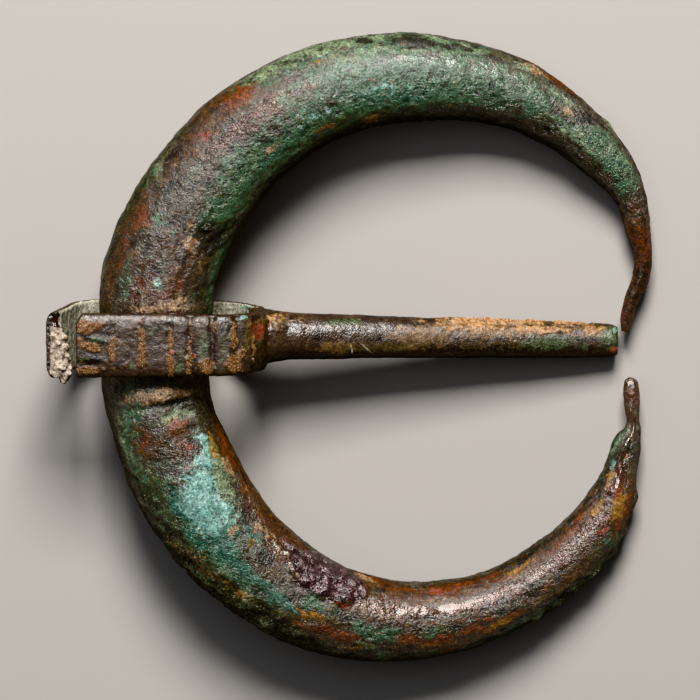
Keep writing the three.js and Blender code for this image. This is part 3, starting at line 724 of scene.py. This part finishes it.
# The pin: a strap bent round the hoop, split at the shank's root, and a tapering round shank.
# x runs along the shank, y across it and z up, in mm from the pivot.
pin = {
    "bandThickness": 1.0,
    "bandHalfWidth": 2.5,
    "bandFlare": 0.012,  # the half width lost for each mm of x
    # the strap's middle line in x and z: a straight part has two points and a bend has three
    "front": [((-6.32, 5.4), (4.8, 5.4)), ((4.8, 5.4), (7.4, 5.4), (8.35, 1.5))],
    "back": [((8.3, -1.2), (6.7, -5.4), (3.7, -5.4)), ((3.7, -5.4), (-3.9, -5.4)),
             ((-3.9, -5.4), (-6.2, -5.4), (-7.0, -2.2)), ((-7.0, -2.2), (-7.5, 0.6), (-8.25, 5.2))],
    "shank": [  # x, y, half width, half depth
        (7.1, 0.1, 2.25, 0.8), (7.5, 0.1, 2.3, 1.7), (8.3, 0.1, 2.27, 2.3), (9.3, 0.1, 2.06, 2.2),
        (10.5, 0.1, 1.88, 1.92), (12, 0.05, 1.84, 1.82), (14.5, 0, 1.8, 1.76), (18, -0.1, 1.68, 1.66),
        (22, -0.25, 1.6, 1.6), (26, -0.35, 1.57, 1.54), (30, -0.5, 1.5, 1.47), (34, -0.65, 1.4, 1.38),
        (36.5, -0.72, 1.3, 1.3), (36.95, -0.74, 1.1, 1.1),
    ],
    "drop": 4.6,  # the shank's end lies this much lower than its root
    "carved": [  # x, width, depth of the lines cut across the strap
        (-3.4, 0.5, 0.05), (-1.1, 0.6, 0.12), (1.1, 0.55, 0.12), (2.75, 0.7, 0.15), (4.5, 0.75, 0.17),
        (6.45, 0.95, 0.2), (7.95, 0.75, 0.24),
    ],
    "bow": 0.20,  # how far the strap's long edges are worn down from its flat face
    "corner": (-6.5, 1.5, 1.6),  # the broken corner: x, y where it starts, and its steepness
    "crust": [  # lumps of limy crust on the broken end of the loop: x, y, z, radius
        (-7.65, 1.05, 4.75, 0.34), (-7.4, 0.55, 4.75, 0.4), (-7.8, 0.15, 4.9, 0.4),
        (-7.3, -0.3, 4.7, 0.42), (-7.65, -0.8, 4.95, 0.48), (-7.15, -1.1, 4.65, 0.4),
        (-7.5, -1.6, 4.95, 0.5), (-7.05, -1.9, 4.7, 0.38), (-7.7, -2.1, 4.85, 0.42),
        (-7.15, -2.4, 4.8, 0.42), (-7.35, -2.8, 4.7, 0.34),
    ],
    "voxel": 0.104,  # the size of the mesh, which keeps it under 200,000 triangles
    # the strap's relief: ridges left standing in the sand, scales of crust on the shank, and two fine
    # pale fibres stuck to it. Their u is x and their v is y, as in the products' spots.
    "ridges": [(-4.9, 0.55, 1.9, 0.3, -14), (-5.2, -1.05, 2.2, 0.5, -8)],
    "scales": [(28.5, 1.0, 16, 1.6), (9.8, 1.3, 4, 1.4)],
    "fibres": [(15.5, -0.95, 0.14, 0.9, 12), (16.7, -0.85, 0.14, 1.4, 45)],
    "spots": {
        "sand": [  # sand packed in the carved lines
            (-5.9, 0.6, 1.0, 0.9), (-5.4, -1.85, 2.1, 0.75), (-5.3, 1.5, 2.1, 1.3),
            (-5.3, 0.05, 2.3, 0.75, -15), (-3.4, -0.3, 0.5, 3.6, 0, 0.8), (-1.1, -0.25, 0.58, 4.7),
            (1.1, -1.35, 0.65, 2.2), (1.1, 0.5, 0.4, 2.6, 0, 0.85), (2.6, -1.5, 0.5, 1.8),
            (2.7, 0.1, 0.42, 4.6, -5, 0.95), (4.15, -1.6, 1.25, 1.5), (4.6, 1.5, 0.5, 1.2, 0, 0.85),
            (6.25, 0.7, 0.7, 2.4), (6.3, -1.35, 1.3, 2.1), (7.8, -0.2, 0.6, 3.0, 0, 0.75),
        ],
        "tan": [  # pale limy earth on the shank
            (8.9, 1.75, 3.0, 0.6, 0, 0.6), (25, 0.7, 7, 0.7, 0, 0.66), (28.5, 1.15, 12, 0.6),
            (30, 0.5, 5, 0.6, 0, 0.66), (31.5, 0.3, 6, 0.6, 0, 0.6), (33.5, 1.0, 4.6, 0.7),
            (34.6, 0.3, 2.6, 0.7, 0, 0.62),
        ],
        "ochre": [  # yellow-brown earth
            (7.6, 0.6, 1.0, 2.6, 0, 0.8), (9.6, 1.4, 3.4, 1.0, 0, 0.7), (14.4, -0.7, 2.4, 1.0, 0, 0.8),
            (21.3, 0.1, 5.5, 1.8, 0, 0.85), (27, 0.5, 10, 1.3), (34.5, 0.3, 3, 1.0, 0, 0.8),
        ],
        "darkOxideAndShade": [  # dirt and dark oxide on the strap; the long spots darken the shank's lower side
            (-6.2, 2.3, 1.0, 0.6, 55), (-5.2, -1.05, 2.2, 0.6, -8), (-4.9, 0.55, 1.9, 0.4, -14),
            (14, -1.4, 12, 1.1), (24, 1.4, 5, 0.5, 0, 0.7), (27, -1.3, 18, 1.0),
        ],
        "olive": [(18, -0.7, 9, 0.9), (27, -0.6, 10, 1.2, 0, 0.6)],
        "bead": [  # dark red glassy beads of cuprite
            (-8.3, -2.7, 0.5, 0.8), (-7.9, 1.9, 0.75, 0.8),
        ],
        "green": [  # green carbonate
            (-5.8, -1.0, 1.2, 0.4, 0, 0.7), (-4.7, 0.5, 1.4, 0.5, 0, 0.8), (-3.4, 0.4, 0.6, 1.2, 0, 0.6),
            (-1.9, -1.6, 0.5, 0.4, 0, 0.9), (-0.2, 1.2, 1.2, 0.9, 0, 0.55),
            (1.9, -1.6, 1.2, 1.0, 0, 0.8), (2.1, -0.6, 0.7, 1.2, 0, 0.6), (3.7, -0.4, 0.9, 3.2, 0, 0.75),
            (5.4, 0.1, 0.8, 3.0, 0, 0.65), (7.2, 0.3, 0.6, 2.8, 0, 0.75), (8.2, 0.4, 0.8, 1.2, 0, 0.7),
            (14.8, 1.3, 2.8, 0.5), (31.5, -0.6, 4.6, 1.2), (34.3, -1.0, 0.5, 0.8),
            (36.3, -0.3, 1.7, 1.6),
        ],
        "coral": [  # red cuprite
            (1.2, 0.55, 0.4, 0.36), (1.25, -0.45, 0.4, 0.36), (3.0, -0.8, 0.4, 0.36),
            (8.1, 0.9, 0.9, 1.3), (36.6, -1.3, 0.6, 0.5),
        ],
        "turquoise": [(4.7, -1.7, 0.3, 0.3), (7.0, 2.2, 0.5, 0.3), (36.7, 0.2, 0.4, 0.4)],
    },
    # Wrought bronze worn by handling: hammered, carved with a graver and buried, then brushed clean.
    # The eye sees smooth brown metal with a dull sheen on its ridges, and rough matt sand, lime and
    # carbonates where the brush didn't reach.
    "finish": {
        "name": "wornBronzeWithPackedEarth",
        "clouds": 1.6, "deep": "#1a140f", "pale": "#544539", "rough": (0.38, 0.52),
        "metal": 0.2, "wax": 0.45, "richness": 1.08,
        "speckle": 0.2, "flecks": (0.35, 1.65),
        "pitting": 0.45, "pitDepth": 0.07, "grit": 0.15, "gritDepth": 0.055,
        "products": [  # as layProduct takes them apart
            ("darkOxideAndShade", "#0b0908", "#2a221b", 0.34, 0.0, 0.9, 0.6, 0.9, 0.14, 0.4),
            ("olive", "#2d2416", "#65563a", 0.45, 0.0, 0.8, 0.8, 1.0, 0.16, 0.5),
            # very pale: limy crust on the loop's inner faces, painted paler still as painted light because
            # they lie in shade
            ("limyCrustAndPaintedLight", "#8d8c77", "#e2dfcc", 0.7, 0.0, 0.97, 0.9, 0.45, 0.15, 0.3),
            ("green", "#262f1c", "#5b684a", 0.48, 0.0, 0.85, 0.5, 1.0, 0.14, 0.4),
            ("ochre", "#483721", "#866b48", 0.55, 0.0, 0.85, 0.8, 1.0, 0.2, 0.5),
            ("tan", "#6e5236", "#b9926b", 0.65, 0.0, 0.95, 0.6, 1.0, 0.18, 0.4),
            ("sand", "#3f2914", "#735131", 0.7, 0.0, 0.95, 0.35, 0.7, 0.14, 0.3),
            ("coral", "#7e3c30", "#b9715c", 0.45, 0.0, 0.85, 0.3, 0.7, 0.14, 0.3),
            ("turquoise", "#4c766a", "#8fb8ad", 0.5, 0.0, 0.85, 0.3, 0.7, 0.14, 0.3),
            ("crust", "#5f4e3b", "#d3c5b4", 0.7, 0.0, 1.0, 0.5, 0.7, 0.12, 0.3),
            ("bead", "#1c0706", "#5c231c", 0.14, 0.0, 1.0, 0.3, 0.4, 0.1, 0.3),
        ],
    },
}


def bandPath(parts, steps):  # the strap's middle line in x and z, from lines and soft corners
    path = []
    for part in parts:
        ends = np.array(part)
        for t in np.arange(steps) / steps:
            path.append(ends[0] * (1 - t) + ends[1] * t if len(ends) == 2 else
                        ends[0] * (1 - t) ** 2 + 2 * ends[1] * t * (1 - t) + ends[2] * t * t)
    return np.array(path + [parts[-1][-1]])


def loft(rings):  # closed rings of equal count joined into one closed body
    count = len(rings[0])
    points = np.concatenate(rings)
    faces = [tuple(range(count - 1, -1, -1)), tuple(range(len(points) - count, len(points)))]
    for k in range(len(rings) - 1):
        for i in range(count):
            j = (i + 1) % count
            faces.append((k * count + i, k * count + j, (k + 1) * count + j, (k + 1) * count + i))
    return points, faces


def roundedSection(halfWidth, halfDepth, power, sides=40):
    a = np.linspace(0, 2 * np.pi, sides, endpoint=False)
    cos, sin = np.cos(a), np.sin(a)
    return (np.sign(cos) * np.abs(cos) ** (2 / power) * halfWidth,
            np.sign(sin) * np.abs(sin) ** (2 / power) * halfDepth)


def strapBody(parts, worn):  # one half of the strap, swept along its line; worn has a broken corner
    path = bandPath(parts, 70)
    heading = np.gradient(path, axis=0)
    heading /= np.linalg.norm(heading, axis=1)[:, None]
    cornerX, cornerY, steepness = pin["corner"]
    rings = []
    for (x, z), (dx, dz) in zip(path, heading):
        halfWidth = pin["bandHalfWidth"] - pin["bandFlare"] * x
        across, through = roundedSection(halfWidth, pin["bandThickness"] / 2, 5)
        through = through - pin["bow"] * np.abs(across / halfWidth) ** 6
        if worn:
            across = np.minimum(across, cornerY + (x - cornerX) * steepness)
        rings.append(np.column_stack([x - dz * through, across, z + dx * through]))
    return loft(rings)


def crustLump(x, y, z, radius):
    rings = []
    for lift in np.linspace(-0.98, 0.98, 12):
        reach = radius * math.sqrt(1 - lift * lift)
        across, through = roundedSection(reach, reach, 2, 20)
        rings.append(np.column_stack([x + across, y + through, np.full(20, z + radius * lift)]))
    return loft(rings)


def shankBody():
    stations = np.array(pin["shank"])
    root, tip = stations[0, 0], stations[-1, 0]
    rings = []
    for x in np.concatenate([np.linspace(root, 12, 30), np.linspace(12.3, tip, 90)]):
        y, halfWidth, halfDepth = (np.interp(x, stations[:, 0], stations[:, i]) for i in (1, 2, 3))
        z = -(x - root) / (tip - root) * pin["drop"]
        across, through = roundedSection(halfWidth, halfDepth, 2.2)
        rings.append(np.column_stack([np.full(len(across), x), y + across, z + through]))
    return loft(rings)


def pinParts():
    strap = [strapBody(pin["front"], True), strapBody(pin["back"], False)]
    return strap + [crustLump(*lump) for lump in pin["crust"]] + [shankBody()]


def meltPin():  # the parts of the pin melted into one skin
    points, faces, start = [], [], 0
    for bodyPoints, bodyFaces in pinParts():
        points.append(bodyPoints)
        faces += [tuple(i + start for i in f) for f in bodyFaces]
        start += len(bodyPoints)
    rough = bpy.data.meshes.new("pinRough")
    rough.from_pydata(((np.concatenate(points) + pivot) * mm).tolist(), [], faces)
    source = linkObject("pinRough", rough)
    work = bmesh.new()
    work.from_mesh(rough)
    bmesh.ops.recalc_face_normals(work, faces=work.faces)
    work.to_mesh(rough)
    work.free()
    melt = source.modifiers.new("melt", "REMESH")
    melt.mode = "VOXEL"
    melt.voxel_size = pin["voxel"] * mm
    melt.use_smooth_shade = True
    return bakeToMesh(source, "pinBronze")


def corrodePin(points, normals):  # the height in mm, the products' fields, and the parts of the pin
    x, y, z = (points - pivot).T
    nx, nz = normals[:, 0], normals[:, 2]
    onShank = x > 8.6
    top = ramp(0.2, 0.6, nz) * (x < 8.6) * (z > 3.0)  # the strap's front
    inner = ((np.abs(x) < 8) & (nz > 0.2) & (z < 0)) | ((x < -6.0) & (x > -8) & (nx > 0.2) & (z < 4.6))
    end = ramp(-6.6, -6.8, x) * ramp(4.0, 4.5, z) * ramp(0.0, 0.4, nz + 0.7 * nx)  # the broken bend
    jag = wander(points, 0.7, 3, 21)
    fields = {name: spread(spots, x, y) * ramp(0.0, 0.35, nz + 0.4 * onShank)
              for name, spots in pin["spots"].items()}
    ridges = spread(pin["ridges"], x, y) * top
    fields["sand"] *= top * (1 - ridges)
    fields["sand"] = fields["sand"] + (0.4 * jag - 0.06) * (fields["sand"] > 0.15)
    sand = ramp(0.35, 0.6, fields["sand"])
    tan = ramp(0.35, 0.6, fields["tan"] + 0.2 * jag) * onShank
    crust = end * ramp(1.7, 1.2, y + 0.2 * jag) * ramp(-8.55, -8.15, x + 0.12 * jag)
    fields["crust"] = np.maximum(crust, spread(pin["fibres"], x, y) * onShank * (nz > 0))
    # the loop's inner faces: pale limy crust, painted paler as painted light where shade falls
    fields["limyCrustAndPaintedLight"] = inner * 1.0

    rise = 0.04 * wander(points, 2.0, 3, 22) + (0.035 - 0.02 * onShank) * wander(points, 0.8, 3, 23)
    rise += 0.02 * wander(points, 0.4, 3, 24)
    for at, width, depth in pin["carved"]:
        edge = 1 - 0.8 * ramp(1.3, 2.0, y) * (at < 2)  # the left ones stop short of the strap's upper edge
        rise += -depth * 1.15 * bell(x - 0.12 * jag, at, width * 0.62) * top * edge
    rise += 0.10 * ridges
    rise += sand * (0.07 + 0.09 * wander(points, 0.35, 3, 25)) * top
    rise += tan * (0.07 + 0.11 * wander(points, 0.7, 3, 26))
    rise += 0.10 * spread(pin["scales"], x, y) * onShank * wander(points, 1.1, 4, 29)
    rise += end * (0.13 * wander(points, 0.6, 3, 27) + 0.08 * wander(points, 0.25, 2, 28))
    rise += -0.25 * end * bell(y, 1.9, 0.9) * bell(x, -7.9, 0.9)
    fields["relief"] = (rise - 0.18 * ridges - 0.08 * sand * top) / 0.25 * (1 - inner)
    return rise, fields, {"onShank": onShank, "top": top, "inner": inner, "ridges": ridges}


def sheenOfPin(mesh, x, y, parts):  # painted shade, gloss, and the rubbed and the calm places
    onShank, inner = parts["onShank"], parts["inner"]
    sheen = paintedShadeAndWax(mesh)
    edge = 0.3 * parts["top"] * bell(y, 2.0, 0.9)
    sheen["polish"] = np.maximum(edge, onShank * bell(y, 0.6, 1.6) * ramp(22, 12, x))
    sheen["calm"] = np.maximum(sheen["polish"] * (1 - 0.6 * onShank), inner)
    sheen["shine"] *= (1 - 0.8 * parts["ridges"]) * (1 - 0.8 * inner)
    return sheen


def buildPin():
    piece = meltPin()
    mesh = piece.data
    points, normals = readPoints(mesh), readNormals(mesh)
    rise, fields, parts = corrodePin(points, normals)
    x, y = (points - pivot).T[:2]
    writePoints(mesh, points + normals * rise[:, None])
    fields.update(sheenOfPin(mesh, x, y, parts))
    for name, values in fields.items():
        writeField(mesh, name, values)
    mesh.materials.clear()
    mesh.materials.append(makeCorroded(pin["finish"]))
    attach(piece, "pin")
    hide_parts("pin")
    print("pin built:", len(mesh.polygons), "faces")
    return piece


pinPiece = buildPin()


# Grains of sand and crumbs of crust: small faceted stones scattered where a field says so.
def scatterGrains():
    tree, entry, out = newTree("grainScatter", {
        "Per Square Metre": ("NodeSocketFloat", 1e7), "Radius": ("NodeSocketFloat", 0.0001),
        "Seed": ("NodeSocketInt", 1), "Skin": ("NodeSocketMaterial", None),
    })
    where = addNode(tree, "GeometryNodeInputNamedAttribute", {"Name": "grains"}, data_type="FLOAT")
    density = addNode(tree, "ShaderNodeMath", {
        0: where.outputs[0], 1: entry.outputs["Per Square Metre"]}, operation="MULTIPLY").outputs[0]
    spots = addNode(tree, "GeometryNodeDistributePointsOnFaces", {
        "Mesh": entry.outputs["Geometry"], "Density": density, "Seed": entry.outputs["Seed"]},
        distribute_method="RANDOM")
    stone = addNode(tree, "GeometryNodeMeshIcoSphere", {
        "Radius": entry.outputs["Radius"], "Subdivisions": 1}).outputs[0]
    size = addNode(tree, "FunctionNodeRandomValue", {
        0: (0.55, 0.55, 0.4), 1: (1.5, 1.4, 1.1), "Seed": entry.outputs["Seed"]},
        data_type="FLOAT_VECTOR").outputs[0]
    spin = addNode(tree, "FunctionNodeRandomValue", {
        0: (-0.6, -0.6, -3.1), 1: (0.6, 0.6, 3.1), "Seed": entry.outputs["Seed"]},
        data_type="FLOAT_VECTOR").outputs[0]
    leaned = addNode(tree, "FunctionNodeRotateRotation", {
        "Rotation": spots.outputs["Rotation"], "Rotate By": spin}, rotation_space="LOCAL").outputs[0]
    laid = addNode(tree, "GeometryNodeInstanceOnPoints", {
        "Points": spots.outputs["Points"], "Instance": stone, "Rotation": leaned, "Scale": size})
    luck = addNode(tree, "FunctionNodeRandomValue", {"Min": 0.0, "Max": 1.0, "Seed": entry.outputs["Seed"]},
                   data_type="FLOAT").outputs[1]
    named = addNode(tree, "GeometryNodeStoreNamedAttribute", {
        "Geometry": laid.outputs[0], "Name": "luck", "Value": luck}, data_type="FLOAT", domain="INSTANCE")
    real = addNode(tree, "GeometryNodeRealizeInstances", {0: named.outputs[0]})
    skin = addNode(tree, "GeometryNodeSetMaterial", {
        "Geometry": real.outputs[0], "Material": entry.outputs["Skin"]})
    tree.links.new(skin.outputs[0], out.inputs[0])
    return tree


grainTree = scatterGrains()


def makeMineral(name, tints, rough):  # loose mineral grains: each has its own place in the tints
    material = bpy.data.materials.new(name)
    material.use_nodes = True
    tree = material.node_tree
    shader = tree.nodes["Principled BSDF"]
    luck = addNode(tree, "ShaderNodeAttribute", attribute_name="luck").outputs["Fac"]
    colours = addNode(tree, "ShaderNodeValToRGB", {"Fac": luck})
    colours.color_ramp.interpolation = "CONSTANT"
    steps = colours.color_ramp.elements
    while len(steps) < len(tints):
        steps.new(0.5)
    for i, code in enumerate(tints):
        steps[i].position = i / len(tints)
        steps[i].color = tint(code)
    tree.links.new(colours.outputs["Color"], shader.inputs["Base Color"])
    shader.inputs["Roughness"].default_value = rough
    return material


def addGrains(piece, name, body, look):  # the field and its two limits say where they lie
    copy = linkObject(name + "Source", piece.data.copy())
    field, low, high = look["on"]
    writeField(copy.data, "grains", ramp(low, high, readField(piece.data, field)))
    copy.data.materials.clear()
    useTree(copy, grainTree, {
        "Per Square Metre": look["perSquareMm"] * 1e6, "Radius": look["radius"] * mm, "Seed": look["seed"],
        "Skin": makeMineral(look["name"], look["tints"], look["rough"])})
    grains = bakeToMesh(copy, name)
    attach(grains, body)
    print(name + ":", len(grains.data.polygons), "faces")


# Quartz sand stained by iron: water-worn grains that soil water cemented in the carved lines. The
# eye sees a rough orange-brown filling with single bright grains.
packedSand = {
    "name": "ironStainedSand", "on": ("sand", 0.42, 0.7), "perSquareMm": 150, "radius": 0.05, "seed": 5,
    "rough": 0.45, "tints": ["#573a20", "#795736", "#8b6743", "#987551", "#684729", "#a88a66"],
}
# Limy earth: calcite crumbs that dried on as a crust. The eye sees a pale, dusty, broken top.
limyCrumbs = {
    "name": "limyEarthCrumbs", "on": ("tan", 0.5, 0.9), "perSquareMm": 50, "radius": 0.05, "seed": 8,
    "rough": 0.7, "tints": ["#8a6a4a", "#b59270", "#cbab8c", "#a07c5a", "#bf9f82"],
}
# Mineral crumbs: soil grains that copper salts cemented to the hoop. The eye sees a dark, rocky
# growth with a broken edge.
rockCrumbs = {
    "name": "mineralCrumbs", "on": ("rocky", 0.5, 1.1), "perSquareMm": 30, "radius": 0.085, "seed": 11,
    "rough": 0.5, "tints": ["#1d190f", "#39361f", "#2a2c20", "#4d4a32", "#33230f", "#5f6049", "#14120c"],
}
addGrains(pinPiece, "packedSand", "pin", packedSand)
addGrains(pinPiece, "limyCrumbs", "pin", limyCrumbs)
addGrains(hoopPiece, "mineralCrumbs", "hoop", rockCrumbs)
